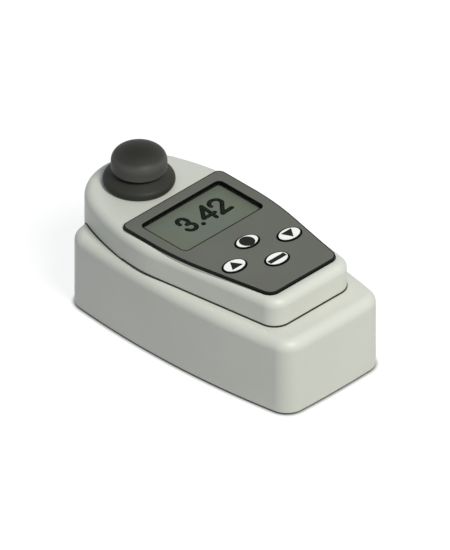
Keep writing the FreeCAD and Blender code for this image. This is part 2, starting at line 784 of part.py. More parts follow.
def make_board():
    body = new_body("board_body")
    places = [(f"({UPPER_FRONT_HALF} - size.board_corner_margin)", f"-{BOARD_FRONT}"),
              (f"({UPPER_HALF} - size.board_side_margin)", "size.board_back")]
    pad(body, "board_plate", both_sides(places, [""]), BOARD_FLOOR, "size.board_thickness")
    holes = [cylinder(f"board_hole{index}", "size.board_screw_radius + size.screw_gap",
                      "size.board_thickness", x, y, BOARD_FLOOR)
             for index, (x, y) in enumerate(STANDOFFS)]
    node("main_board", cut("main_board", body, holes))
    posts = []
    for index, (x, y) in enumerate(STANDOFFS):
        post = cylinder(f"standoff_post{index}", "size.standoff_radius", "size.board_under", x, y, DECK)
        hole = cylinder(f"standoff_hole{index}", "size.board_screw_radius + size.pilot_gap",
                        "size.board_under", x, y, DECK)
        posts.append(cut(f"standoff{index}", post, [hole]))
    node("board_standoffs", group("board_standoffs", posts))
    screws("board_screws", STANDOFFS, "size.board_screw_radius", "size.board_screw_length",
           "size.board_screw_head", "size.board_screw_head_height", BOARD_TOP, -1)


CHIPS = {
    # name: length, width, height, x, y of each package under the board
    "processor": (10.0, 10.0, 1.6, -6.0, -8.0),
    "amplifier": (5.0, 6.2, 1.5, 10.0, 8.0),
    "memory": (5.0, 6.2, 1.5, 8.0, -22.0),
    "regulator": (6.5, 3.5, 1.8, -10.0, -28.0),
}


def make_chips():
    chips = []
    for name, (length, width, height, x, y) in CHIPS.items():
        chips.append(box(f"chip_{name}", str(length), str(width), str(height), str(x), str(y),
                         f"{BOARD_FLOOR} - {height}"))
    node("board_chips", group("board_chips", chips))


# Keys: an oval cap held under the panel by its flange, over a switch with a moving stem.
def make_keys():
    switches = []
    domes = []
    stem_top = f"({PANEL_FLOOR} - size.key_flange_height)"
    switch_top = f"({BOARD_TOP} + size.switch_height)"
    bore_floor = f"({switch_top} - size.stem_depth - size.key_travel - size.dome_thickness)"
    for key, (x, y) in KEYS.items():
        cap = oval(f"{key}_key_cap", "size.key_length", "size.key_width",
                   "size.panel_thickness + size.key_proud", x, y, PANEL_FLOOR)
        flange = oval(f"{key}_key_flange", "size.key_length + 2 * size.key_flange",
                      "size.key_width + 2 * size.key_flange", "size.key_flange_height", x, y, stem_top)
        plain = fuse(f"{key}_key_plain", [cap, flange])
        doc.recompute()
        rounded = doc.addObject("Part::Fillet", f"{key}_key")
        rounded.Base = plain
        top = flat_at(f"({PANEL_TOP} + size.key_proud)")
        radius = number("size.key_edge_round")
        rounded.Edges = [(i, radius, radius)
                         for i, edge in enumerate(plain.Shape.Edges, start=1) if top(edge)]
        node(f"{key}_key", rounded)
        stem = cylinder(f"{key}_switch_stem", "size.stem_radius",
                        f"{stem_top} - {switch_top} + size.stem_depth", x, y,
                        f"{switch_top} - size.stem_depth")
        node(f"{key}_switch_stem", stem)
        block = box(f"{key}_switch_block", "size.switch_width", "size.switch_width",
                    "size.switch_height", x, y, BOARD_TOP)
        bore = cylinder(f"{key}_switch_bore", "size.stem_bore_radius", f"{switch_top} - {bore_floor}",
                        x, y, bore_floor)
        switches.append(cut(f"{key}_switch_housing", block, [bore]))
        domes.append(cylinder(f"{key}_dome", "size.stem_radius", "size.dome_thickness", x, y,
                              bore_floor))
    node("switch_housings", group("switch_housings", switches))
    node("switch_domes", group("switch_domes", domes))


CELL_ROW = [-1.5, -0.5, 0.5, 1.5]
TRAY_HALF = "(2 * size.cell_pitch + size.cell_gap)"
TRAY_FRONT = "(size.battery_at - size.cell_length / 2 - size.contact_thickness)"
TRAY_BACK = ("(size.battery_at + size.cell_length / 2 + size.cell_nub_height"
             " + size.spring_length + size.contact_thickness)")
TRAY_LENGTH = f"({TRAY_BACK} - {TRAY_FRONT})"
TRAY_MIDDLE = f"(({TRAY_BACK} + {TRAY_FRONT}) / 2)"
TRAY_ROOM = "(2 * size.cell_radius + size.cell_gap)"
CELL_AXIS = f"({COVER_TOP} + size.cell_radius + size.cell_gap / 2)"
DOOR_HALF = f"({TRAY_HALF} - size.door_overlap)"
DOOR_FRONT = f"({TRAY_FRONT} - size.door_overlap)"
DOOR_BACK = f"({TRAY_BACK} + size.door_overlap)"
DOOR_TOP = "(size.foot_proud + size.door_lip + size.door_flange_height)"


def make_bottom_cover():
    edge = "(size.case_wall + size.fit_gap)"
    body = base_block("cover_body", edge, "size.foot_proud", "size.cover_thickness")
    notch = column_outline("(-size.column_gap)", "(size.column_front - size.column_gap)")
    pocket(body, "cover_notch", notch, COVER_TOP, "size.cover_thickness")
    tongue = column_outline(edge, "(size.column_front - size.case_wall)")
    pad(body, "cover_tongue", tongue, "size.foot_proud", "size.cover_thickness")
    slot_front = f"({DOOR_FRONT} - size.door_travel - size.door_gap)"
    slot_back = f"({DOOR_BACK} + size.door_gap)"
    slot = rectangle(f"{DOOR_HALF} + size.door_gap", slot_front, slot_back)
    pocket(body, "door_slot", slot, "size.foot_proud + size.door_lip", "size.door_lip")
    groove = rectangle(f"{DOOR_HALF} + size.door_flange + size.door_gap", slot_front, slot_back)
    groove_top = f"({DOOR_TOP} + size.door_gap / 2)"
    pocket(body, "door_groove", groove, groove_top, "size.door_flange_height + size.door_gap / 2")
    pocket(body, "battery_opening", rectangle(TRAY_HALF, TRAY_FRONT, TRAY_BACK), COVER_TOP,
           f"{COVER_TOP} - {groove_top}")
    holes = []
    for index, (x, y) in enumerate(POSTS):
        holes.append(cylinder(f"cover_hole{index}", "size.case_screw_radius + size.screw_gap",
                              "size.cover_thickness", x, y, "size.foot_proud"))
        holes.append(cylinder(f"cover_sink{index}", "size.case_screw_head + size.screw_gap",
                              "size.case_screw_head_height", x, y, "size.foot_proud"))
    for index, (x, y) in enumerate(FEET):
        holes.append(cylinder(f"foot_socket{index}", "size.foot_radius + size.foot_gap",
                              "size.foot_socket", x, y, "size.foot_proud"))
    node("bottom_cover", cut("bottom_cover", body, holes))


def make_case_screws():
    screws("cover_screws", POSTS, "size.case_screw_radius",
           "size.case_screw_length - size.case_screw_head_height + size.cover_thickness"
           " - size.pilot_spare",
           "size.case_screw_head", "size.case_screw_head_height - size.screw_gap",
           "(size.foot_proud + size.case_screw_head_height)", 1)
    screws("case_screws", BOSSES, "size.case_screw_radius",
           "size.case_screw_length + size.deck_thickness - size.pilot_spare", "size.case_screw_head",
           "size.case_screw_head_height", f"({DECK} - size.deck_thickness)", 1)


def make_feet():
    feet = []
    for index, (x, y) in enumerate(FEET):
        tip = cone(f"foot_tip{index}", "size.foot_radius - size.foot_edge", "size.foot_radius",
                   "size.foot_edge", x, y, "0")
        rod = cylinder(f"foot_rod{index}", "size.foot_radius",
                       "size.foot_proud + size.foot_socket - size.foot_edge", x, y, "size.foot_edge")
        feet.append(fuse(f"foot{index}", [tip, rod]))
    node("rubber_feet", group("rubber_feet", feet))


def make_battery_door():
    body = new_body("battery_door")
    plate = rectangle(DOOR_HALF, DOOR_FRONT, DOOR_BACK)
    flange = rectangle(f"{DOOR_HALF} + size.door_flange", DOOR_FRONT, DOOR_BACK)
    pad(body, "door_plate", plate, "size.foot_proud", "size.door_lip")
    pad(body, "door_flanges", flange, "size.foot_proud + size.door_lip", "size.door_flange_height")
    first = f"({DOOR_BACK} - size.grip_margin)"
    groove = pocket(body, "door_grip", rectangle("size.grip_length / 2",
                                                 f"{first} - size.grip_width", first),
                    "size.foot_proud + size.grip_depth", "size.grip_depth")
    pattern = body.newObject("PartDesign::LinearPattern", "door_grips")
    pattern.Originals = [groove]
    pattern.Direction = (groove.Profile[0], ["V_Axis"])
    pattern.Reversed = True
    pattern.setExpression("Length", "size.grip_pitch * (size.grip_count - 1)")
    pattern.setExpression("Occurrences", "size.grip_count")
    body.Tip = pattern
    doc.recompute()
    node("battery_door", body)


def make_batteries():
    outer = box("tray_outer", f"2 * ({TRAY_HALF} + size.tray_wall)",
                f"{TRAY_LENGTH} + 2 * size.tray_wall", f"{TRAY_ROOM} + size.tray_wall", "0",
                TRAY_MIDDLE, COVER_TOP)
    room = box("tray_room", f"2 * {TRAY_HALF}", TRAY_LENGTH, TRAY_ROOM, "0", TRAY_MIDDLE, COVER_TOP)
    node("battery_tray", cut("battery_tray", outer, [room]))
    cells = []
    plates = []
    springs = []
    for index, place in enumerate(CELL_ROW):
        x = f"({place} * size.cell_pitch)"
        ahead = index % 2 == 0
        start = "(size.battery_at - size.cell_length / 2 + size.cell_nub_height)"
        if ahead:
            start = "(size.battery_at - size.cell_length / 2)"
        can = cylinder(f"cell_can{index}", "size.cell_radius", "size.cell_length", x, start,
                       CELL_AXIS, ALONG_Y)
        nub_start = f"{start} + size.cell_length" if ahead else f"{start} - size.cell_nub_height"
        nub = cylinder(f"cell_nub{index}", "size.cell_nub_radius", "size.cell_nub_height", x,
                       nub_start, CELL_AXIS, ALONG_Y)
        cells.append(fuse(f"cell{index}", [can, nub]))
        spring_start = f"({start} + size.cell_length)"
        length = "size.spring_length"
        if ahead:
            spring_start = f"({start} + size.cell_length + size.cell_nub_height)"
        outer_coil = cylinder(f"spring_outer{index}", "size.spring_radius", length, x, spring_start,
                              CELL_AXIS, ALONG_Y)
        inner_coil = cylinder(f"spring_inner{index}", "size.spring_radius - size.spring_wire", length,
                              x, spring_start, CELL_AXIS, ALONG_Y)
        springs.append(cut(f"spring{index}", outer_coil, [inner_coil]))
    for side, y in (("front", f"{TRAY_FRONT} + size.contact_thickness / 2"),
                    ("back", f"{TRAY_BACK} - size.contact_thickness / 2")):
        for half in (-1, 1):
            plates.append(box(f"contact_{side}{half}", "2 * size.cell_pitch - 2 * size.cell_gap",
                              "size.contact_thickness", "size.contact_height",
                              f"{half} * size.cell_pitch", y, f"{CELL_AXIS} - size.contact_height / 2"))
    node("battery_cells", group("battery_cells", cells))
    node("battery_springs", group("battery_springs", springs))
    node("battery_contacts", group("battery_contacts", plates))


# Sample well: black tube on the bottom cover with three ports for the optics.
WELL = ("0", "size.well_offset")
OPTIC = f"({COVER_TOP} + size.optic_height)"
SEAT_REACH = "(size.well_radius - size.holder_seat)"
OPTIC_SEATS = [
    ("source", f"-{SEAT_REACH} - size.holder_seat - size.fit_gap", "size.well_offset", ALONG_X),
    ("transmitted", SEAT_REACH, "size.well_offset", ALONG_X),
    ("scatter", "0", f"size.well_offset - {SEAT_REACH} - size.holder_seat - size.fit_gap", ALONG_Y),
]


def make_sample_well():
    top = f"({UPPER_TOP} - {COVER_TOP})"
    flange_top = f"({SKIN_UNDER} - {COVER_TOP} - size.well_gasket)"
    profile = [
        ("0", "0", ""), ("size.well_radius", "0", ""),
        ("size.well_radius", f"({flange_top} - size.well_flange_height)", ""),
        ("size.well_flange", f"({flange_top} - size.well_flange_height)", ""),
        ("size.well_flange", flange_top, ""), ("size.well_neck", flange_top, ""),
        ("size.well_neck", top, ""), ("size.well_mouth_bore", top, ""),
        ("size.well_mouth_bore", f"({top} - size.well_mouth_depth)", ""),
        ("size.well_bore", f"({top} - size.well_mouth_depth)", ""),
        ("size.well_bore", "size.well_floor", ""), ("0", "size.well_floor", ""),
    ]
    body = revolved("well_body", profile, "0", "size.well_offset", COVER_TOP)
    across = "2 * (size.well_radius + size.holder_seat)"
    ports = [
        cylinder("beam_port", "size.optic_bore", across,
                 "-size.well_radius - size.holder_seat", "size.well_offset", OPTIC, ALONG_X),
        cylinder("scatter_port", "size.optic_bore", "size.well_radius + size.holder_seat",
                 "0", "size.well_offset - size.well_radius - size.holder_seat", OPTIC, ALONG_Y),
    ]
    flats = []
    for name, x, y, turn in OPTIC_SEATS:
        flats.append(cylinder(f"{name}_seat", "size.holder_radius + size.optic_gap",
                              "size.holder_seat + size.fit_gap", x, y, OPTIC, turn))
    node("sample_well", cut("sample_well", body, ports + flats))
    outer = cylinder("well_gasket_outer", "size.well_flange", "size.well_gasket", *WELL,
                     f"{SKIN_UNDER} - size.well_gasket")
    inner = cylinder("well_gasket_inner", "size.well_neck + size.fit_gap", "size.well_gasket", *WELL,
                     f"{SKIN_UNDER} - size.well_gasket")
    node("well_gasket", cut("well_gasket", outer, [inner]))


def domed(name, x, y, turn, dome_x, dome_y):
    """Round package with a domed end: x, y is its flat end, dome_x, dome_y the middle of its dome."""
    rod = cylinder(f"{name}_rod", "size.led_radius", "size.led_length - size.led_radius", x, y, OPTIC,
                   turn)
    dome = ball(f"{name}_dome", "size.led_radius", dome_x, dome_y, OPTIC)
    node(name, fuse(name, [rod, dome]))


def make_optics():
    far = f"({SEAT_REACH} + size.holder_length)"
    starts = {
        "source": (f"-{far}", "size.well_offset", ALONG_X),
        "transmitted": (SEAT_REACH, "size.well_offset", ALONG_X),
        "scatter": ("0", f"size.well_offset - {far}", ALONG_Y),
    }
    for name, (x, y, turn) in starts.items():
        tube = cylinder(f"{name}_tube", "size.holder_radius", "size.holder_length", x, y, OPTIC, turn)
        bore = cylinder(f"{name}_tube_bore", "size.led_radius + size.optic_gap",
                        "size.holder_length", x, y, OPTIC, turn)
        node(f"{name}_holder", cut(f"{name}_holder", tube, [bore]))
    straight = "(size.led_length - size.led_radius)"
    domed("source_led", f"-{far}", "size.well_offset", ALONG_X, f"-{far} + {straight}",
          "size.well_offset")
    domed("transmitted_detector", f"{far} - {straight}", "size.well_offset", ALONG_X,
          f"{far} - {straight}", "size.well_offset")
    domed("scatter_detector", "0", f"size.well_offset - {far}", ALONG_Y, "0",
          f"size.well_offset - {far} + {straight}")
    lens_x = f"(-{far} + size.led_length + size.led_rim)"
    disc = cylinder("lens_disc", "size.lens_radius", "size.lens_edge + size.lens_crown",
                    lens_x, "size.well_offset", OPTIC, ALONG_X)
    curve = "((size.lens_radius^2 + size.lens_crown^2) / (2 * size.lens_crown))"
    crown = ball("lens_ball", curve, f"{lens_x} + size.lens_edge + size.lens_crown - {curve}",
                 "size.well_offset", OPTIC)
    lens = doc.addObject("Part::Common", "collimating_lens")
    lens.Base = disc
    lens.Tool = crown
    node("collimating_lens", lens)


def make_vial():
    shoulder = f"({VIAL_HEIGHT} - size.vial_neck_height)"
    profile = [
        ("0", "0", ""), ("(size.vial_radius - size.vial_corner)", "0", "size.vial_corner"),
        ("size.vial_radius", "size.vial_corner", ""), ("size.vial_radius", shoulder, ""),
        ("size.vial_neck_radius", f"({shoulder} + size.vial_corner)", ""),
        ("size.vial_neck_radius", VIAL_HEIGHT, ""),
        ("(size.vial_neck_radius - size.vial_wall)", VIAL_HEIGHT, ""),
        ("(size.vial_neck_radius - size.vial_wall)", shoulder, ""),
        ("(size.vial_radius - size.vial_wall)", f"({shoulder} - size.vial_corner)", ""),
        ("(size.vial_radius - size.vial_wall)", "size.vial_wall", ""), ("0", "size.vial_wall", ""),
    ]
    node("sample_vial", revolved("vial_body", profile, "0", "size.well_offset", WELL_BORE_FLOOR))
    neck_top = f"({WELL_BORE_FLOOR} + {VIAL_HEIGHT})"
    node("cap_liner", cylinder("cap_liner", "size.vial_neck_radius", "size.liner_thickness", *WELL,
                               neck_top))
    inside_top = f"({neck_top} + size.liner_thickness)"
    cap_floor = f"({inside_top} + size.cap_top - size.cap_height)"
    bore = "(size.vial_neck_radius + size.cap_bore_gap)"
    under = "(size.cap_height - size.cap_top)"
    edge = "(size.cap_height - size.vial_corner)"
    cap = revolved("vial_cap", [
        (bore, "0", ""), ("size.cap_radius", "0", ""), ("size.cap_radius", edge, "size.vial_corner"),
        ("(size.cap_radius - size.vial_corner)", "size.cap_height", ""), ("0", "size.cap_height", ""),
        ("0", under, ""), (bore, under, ""),
    ], *WELL, cap_floor)
    groove = ring_groove(cap, "cap_rib", "size.cap_radius + size.rib_radius - size.rib_depth",
                         "size.rib_radius", f"{edge} - size.rib_end")
    pattern = cap.newObject("PartDesign::PolarPattern", "cap_ribs")
    pattern.Originals = [groove]
    pattern.Axis = (groove.Profile[0], ["N_Axis"])
    pattern.Angle = 360
    pattern.setExpression("Occurrences", "size.cap_ribs")
    cap.Tip = pattern
    node("vial_cap", cap)


# The flange of the light shield is a round bead, and a cone that touches it rises to the neck.
BEAD_X = "(size.shield_flange - size.shield_bead)"
BEAD_RUN = f"({BEAD_X} - size.shield_neck)"
BEAD_RISE = "(size.shield_neck_at - size.shield_flange_at)"
BEAD_REACH = f"({BEAD_RUN}^2 + {BEAD_RISE}^2)"
BEAD_TOUCH = f"(sqrt({BEAD_REACH} - size.shield_bead^2) * size.shield_bead / {BEAD_REACH})"
BEAD_SHARE = f"(size.shield_bead^2 / {BEAD_REACH})"
CONE_FOOT = (f"({BEAD_X} - {BEAD_SHARE} * {BEAD_RUN} + {BEAD_TOUCH} * {BEAD_RISE})",
             f"(size.shield_flange_at + {BEAD_SHARE} * {BEAD_RISE} + {BEAD_TOUCH} * {BEAD_RUN})")
BEAD_DROP = "(size.shield_flange_at - size.seal_height)"
SHIELD_FOOT = f"({BEAD_X} + sqrt(size.shield_bead^2 - {BEAD_DROP}^2))"

# The knob's top is a wide arc between two shoulder arcs that touch it.
SIDE_TOP = "(size.knob_under + size.knob_side)"
SHOULDER_X = "(size.knob_radius - size.knob_shoulder)"
CROWN = (f"(({SHOULDER_X}^2 + size.knob_dome^2 - size.knob_shoulder^2)"
         " / (2 * (size.knob_dome - size.knob_shoulder)))")
CROWN_SHARE = f"({CROWN} / ({CROWN} - size.knob_shoulder))"
CROWN_FOOT = (f"({CROWN_SHARE} * {SHOULDER_X})",
              f"({SIDE_TOP} + (size.knob_dome - {CROWN}) * (1 - {CROWN_SHARE}))")


# Light shield: flange, hollow waist and domed knob in one moulding, with a skirt in the well.
def make_light_shield():
    profile = [
        ("size.skirt_inner", "-size.skirt_depth", ""),
        ("size.skirt_radius", "-size.skirt_depth", ""),
        ("size.skirt_radius", "size.seal_height", ""),
        (SHIELD_FOOT, "size.seal_height", "size.shield_bead"),
        (*CONE_FOOT, ""),
        ("size.shield_neck", "size.shield_neck_at", ""),
        ("size.shield_neck", "size.knob_under", ""),
        ("(size.knob_radius - size.knob_edge_round)", "size.knob_under", "size.knob_edge_round"),
        ("size.knob_radius", "(size.knob_under + size.knob_edge_round)", ""),
        ("size.knob_radius", SIDE_TOP, "size.knob_shoulder"),
        (*CROWN_FOOT, CROWN),
        ("0", f"({SIDE_TOP} + size.knob_dome)", ""),
        ("0", "size.shield_hollow_top", ""),
        ("size.shield_hollow", "size.shield_hollow_top", ""),
        ("size.shield_hollow", "(size.shield_cap_room + size.shield_throat)", ""),
        ("size.skirt_inner", "size.shield_cap_room", ""),
    ]
    node("light_shield", revolved("shield_body", profile, "0", "size.well_offset", UPPER_TOP))
    outer = f"({SHIELD_FOOT} - size.seal_inset)"
    seal = cylinder("seal_outer", outer, "size.seal_height", *WELL, UPPER_TOP)
    hole = cylinder("seal_hole", f"{outer} - size.seal_width", "size.seal_height", *WELL, UPPER_TOP)
    node("shield_seal", cut("shield_seal", seal, [hole]))


def make_sensor_board():
    y = f"(size.well_offset - {SEAT_REACH} - size.holder_length - size.sensor_board_thickness / 2)"
    node("sensor_board", box("sensor_board", "size.sensor_board_width",
                             "size.sensor_board_thickness", "size.sensor_board_height", "0", y,
                             f"{OPTIC} - size.sensor_board_height / 2"))


# Ribbon: lies on the front face of the sensor board, rises and bends forward under the main board.
def make_ribbon():
    front = f"(size.well_offset - {SEAT_REACH} - size.holder_length - size.sensor_board_thickness)"
    foot = f"({OPTIC} + size.sensor_board_height / 2 - size.ribbon_drop)"
    thick = "size.ribbon_thickness"
    turn = f"({BOARD_FLOOR} - size.ribbon_bend - {thick})"
    inner = f"({front} - size.ribbon_bend - {thick})"
    tip = "(size.board_back - size.ribbon_lap)"
    rise = box("ribbon_rise", "size.ribbon_width", thick, f"{turn} - {foot}", "0",
               f"{front} - {thick} / 2", foot)
    flat = box("ribbon_flat", "size.ribbon_width", f"{inner} - {tip}", thick, "0",
               f"({inner} + {tip}) / 2", f"{BOARD_FLOOR} - {thick}")
    start = "-size.ribbon_width / 2"
    outer = cylinder("ribbon_bend_outer", f"size.ribbon_bend + {thick}", "size.ribbon_width", start,
                     inner, turn, ALONG_X)
    core = cylinder("ribbon_bend_core", "size.ribbon_bend", "size.ribbon_width", start, inner, turn,
                    ALONG_X)
    reach = f"(2 * (size.ribbon_bend + {thick}))"
    below = box("ribbon_bend_below", "size.ribbon_width", reach, reach, "0", inner,
                f"{turn} - {reach}")
    ahead = box("ribbon_bend_ahead", "size.ribbon_width", reach, reach, "0",
                f"{inner} - {reach} / 2", f"{turn} - {reach} / 2")
    bend = cut("ribbon_bend", outer, [core, below, ahead])
    node("sensor_ribbon", fuse("sensor_ribbon", [rise, bend, flat]))


def export():
    doc.recompute()
    for item in doc.Objects:
        if "Invalid" in item.State or "Error" in item.State:
            raise RuntimeError(f"{item.Name} is not built: {item.State}")
    for name, item in NODES.items():
        if item.Shape.isNull() or not item.Shape.isValid():
            raise RuntimeError(f"{name} has no valid shape")
    os.makedirs("parts", exist_ok=True)
    for name, item in NODES.items():
        item.Shape.exportStep(os.path.join("parts", name + ".step"))


make_base_shell()
make_upper_shell()
make_case_gasket()
make_panel()
make_display()
make_board()
make_chips()
make_keys()
make_bottom_cover()
make_case_screws()
make_feet()
make_battery_door()
make_batteries()
make_sample_well()
make_optics()
make_vial()
make_light_shield()
make_sensor_board()
make_ribbon()
export()
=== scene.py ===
import math

import bmesh
import bpy
from mathutils import Matrix, Vector
from mathutils.bvhtree import BVHTree


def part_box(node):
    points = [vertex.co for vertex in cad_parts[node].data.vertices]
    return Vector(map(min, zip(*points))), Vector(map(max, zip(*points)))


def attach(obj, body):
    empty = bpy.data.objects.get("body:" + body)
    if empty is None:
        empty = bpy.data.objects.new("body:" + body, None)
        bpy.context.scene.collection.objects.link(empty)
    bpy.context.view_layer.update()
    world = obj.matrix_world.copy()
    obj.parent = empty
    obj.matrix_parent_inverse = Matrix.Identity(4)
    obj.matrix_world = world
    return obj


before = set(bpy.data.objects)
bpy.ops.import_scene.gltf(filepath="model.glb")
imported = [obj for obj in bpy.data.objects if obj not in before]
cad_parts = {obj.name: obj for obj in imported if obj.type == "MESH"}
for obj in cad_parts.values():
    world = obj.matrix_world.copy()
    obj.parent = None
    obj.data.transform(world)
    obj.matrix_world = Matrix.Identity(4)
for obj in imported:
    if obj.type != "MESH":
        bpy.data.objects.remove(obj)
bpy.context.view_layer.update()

MM = 0.001
KEYS = ("rear", "left", "right", "front")

# Colours, sRGB 0 to 255.
SHELL = (206, 208, 197)
PANEL = (101, 103, 95)
# Painted shade: the dark colour given to the panel's upright sides.
PANEL_SIDE_SHADE = (5, 6, 4)
DISPLAY = (106, 113, 101)
DISPLAY_OLIVE = (109, 115, 95)
LINE = (4, 5, 3)
SEGMENT_RIM = (3, 4, 3)
SEGMENT_CORE = (30, 36, 28)
KEY_CAP = (246, 247, 242)
# Painted shade: the dark colour given to the keys' upright sides.
KEY_SIDE_SHADE = (5, 5, 4)
KEY_MARK = (32, 33, 28)
KNOB = (37, 38, 33)
# Painted sheen on the knob's upright sides; a lighter shade of it is also the colour of the knob's worn
# edges.
KNOB_SHEEN_AND_WEAR = (77, 77, 74)
KNOB_FOOT = (47, 48, 43)
INNER_BLACK = (24, 24, 23)
RUBBER = (14, 14, 13)
FOOT_RUBBER = (28, 28, 27)
DUST = (70, 70, 68)
BOARD = (18, 78, 46)
COPPER_TRACK = (38, 112, 66)
SLEEVE = (40, 44, 50)
SLEEVE_BAND = (176, 116, 64)

# Half the height over which one layer's colour turns into the next.
BLEND = 0.1 * MM

# The knob's lower edge lies this far under its top. A dark line of painted shade runs round it.
KNOB_HEIGHT = 12.4 * MM
LIP_ABOVE = 0.55 * MM
LIP_BELOW = 0.15 * MM

# The panel's foot, which is shell plastic, ends this far under the top of the upper housing.
CARRIER_DEPTH = 0.3 * MM

# The sleeve's band starts at this Y.
SLEEVE_BAND_START = -19.0 * MM
SLEEVE_BAND_BLEND = 0.2 * MM


def linear(colour):
    """Scene-linear colour of an sRGB 0 to 255 colour."""
    values = []
    for channel in colour:
        share = channel / 255
        values.append(share / 12.92 if share <= 0.04045 else ((share + 0.055) / 1.055) ** 2.4)
    return (*values, 1.0)


def shade(colour, factor):
    """A linear colour made lighter or darker."""
    return tuple(min(1.0, channel * factor) for channel in colour[:3]) + (1.0,)


def grey(level):
    """Linear grey."""
    return (level, level, level, 1.0)


class Paint:
    """A material under construction: its nodes, links and Principled shader."""

    def __init__(self, name, roughness=0.5, specular=0.5, metallic=0.0):
        self.material = bpy.data.materials.new(name)
        self.material.use_nodes = True
        self.tree = self.material.node_tree
        self.shader = self.tree.nodes["Principled BSDF"]
        self.shader.inputs["Roughness"].default_value = roughness
        self.shader.inputs["Specular IOR Level"].default_value = specular
        self.shader.inputs["Metallic"].default_value = metallic
        self.place = self.tree.nodes.new("ShaderNodeTexCoord").outputs["Object"]

    def node(self, kind, **values):
        item = self.tree.nodes.new(kind)
        for key, value in values.items():
            setattr(item, key, value)
        return item

    def link(self, source, target):
        self.tree.links.new(source, target)

    def noise(self, scale, detail=2.0, rough=0.5):
        """Random pattern with about scale spots to the metre."""
        item = self.node("ShaderNodeTexNoise")
        item.inputs["Scale"].default_value = scale
        item.inputs["Detail"].default_value = detail
        item.inputs["Roughness"].default_value = rough
        self.link(self.place, item.inputs["Vector"])
        return item.outputs["Fac"]

    def spread(self, value, low, high, start=0.3, end=0.7):
        """The value's range from start to end, stretched to the range from low to high."""
        item = self.node("ShaderNodeMapRange")
        item.inputs["From Min"].default_value = start
        item.inputs["From Max"].default_value = end
        item.inputs["To Min"].default_value = low
        item.inputs["To Max"].default_value = high
        self.link(value, item.inputs["Value"])
        return item.outputs["Result"]

    def mix(self, share, first, second):
        """Colour mix by a share; first and second are colours or sockets."""
        item = self.node("ShaderNodeMix", data_type="RGBA")
        self.link(share, item.inputs["Factor"])
        for socket, value in ((item.inputs["A"], first), (item.inputs["B"], second)):
            if hasattr(value, "is_linked"):
                self.link(value, socket)
            else:
                socket.default_value = value
        return item.outputs["Result"]

    def mottled(self, patches, colour, darker, lighter):
        """The sRGB colour, drifting between two shades of it over the patches."""
        base = linear(colour)
        return self.mix(patches, shade(base, darker), shade(base, lighter))

    def colour(self, socket):
        self.link(socket, self.shader.inputs["Base Color"])

    def uneven_roughness(self, low, high, scale, detail):
        """Roughness that drifts from low to high, as handling leaves it."""
        self.link(self.spread(self.noise(scale, detail), low, high), self.shader.inputs["Roughness"])

    def bump(self, heights, strength, depth, edge=0.0):
        """Surface relief; edge rounds the look of hard corners by that radius."""
        item = self.node("ShaderNodeBump")
        item.inputs["Strength"].default_value = strength
        item.inputs["Distance"].default_value = depth
        self.link(heights, item.inputs["Height"])
        if edge:
            bevel = self.node("ShaderNodeBevel", samples=6)
            bevel.inputs["Radius"].default_value = edge
            self.link(bevel.outputs["Normal"], item.inputs["Normal"])
        self.link(item.outputs["Normal"], self.shader.inputs["Normal"])

    def split(self, vector):
        """X, Y and Z of a vector."""
        item = self.node("ShaderNodeSeparateXYZ")
        self.link(vector, item.inputs["Vector"])
        return item.outputs

    def facing_up(self, low, high):
        """1 where the surface faces up, 0 where it stands upright."""
        geometry = self.node("ShaderNodeNewGeometry")
        return self.spread(self.split(geometry.outputs["Normal"])["Z"], 0.0, 1.0, low, high)

    def above(self, level):
        """1 above the level, 0 below it."""
        return self.spread(self.split(self.place)["Z"], 0.0, 1.0, level - BLEND, level + BLEND)

    def worn_edges(self, reach):
        """1 along edges within reach, broken up as handling leaves them."""
        bevel = self.node("ShaderNodeBevel", samples=8)
        bevel.inputs["Radius"].default_value = reach
        geometry = self.node("ShaderNodeNewGeometry")
        match = self.node("ShaderNodeVectorMath", operation="DOT_PRODUCT")
        self.link(bevel.outputs["Normal"], match.inputs[0])
        self.link(geometry.outputs["Normal"], match.inputs[1])
        edge = self.spread(match.outputs["Value"], 1.0, 0.0, 0.86, 0.995)
        patches = self.spread(self.noise(140.0, 5.0, 0.65), 0.0, 1.0, 0.42, 0.62)
        product = self.node("ShaderNodeMath", operation="MULTIPLY")
        self.link(edge, product.inputs[0])
        self.link(patches, product.inputs[1])
        return product.outputs["Value"]


def moulded(name, colour, roughness=0.45, grain=1.0, edge=0.3 * MM, specular=0.5, wear=0.0):
    """Moulded plastic: fine spark-eroded grain, faint flow shading, slightly polished patches."""
    paint = Paint(name, roughness, specular)
    flow = paint.spread(paint.noise(18.0, 3.0), 0.0, 1.0)
    tint = paint.mottled(flow, colour, 0.965, 1.03)
    specks = paint.spread(paint.noise(900.0, 1.0), 0.0, 0.12, 0.5, 0.75)
    tint = paint.mix(specks, tint, shade(linear(colour), 0.86))
    if wear:
        tint = paint.mix(paint.worn_edges(wear), tint, shade(linear(colour), 1.35))
    paint.colour(tint)
    paint.uneven_roughness(roughness - 0.05, roughness + 0.05, 60.0, 4.0)
    paint.bump(paint.noise(2600.0, 2.0, 0.6), 0.18 * grain, 0.06 * MM, edge)
    return paint.material


def ink(name, colour, grain=0.2, roughness=0.5, specular=0.0):
    """Dull printing ink with a trace of grain."""
    return moulded(name, colour, roughness, grain, 0.0, specular)


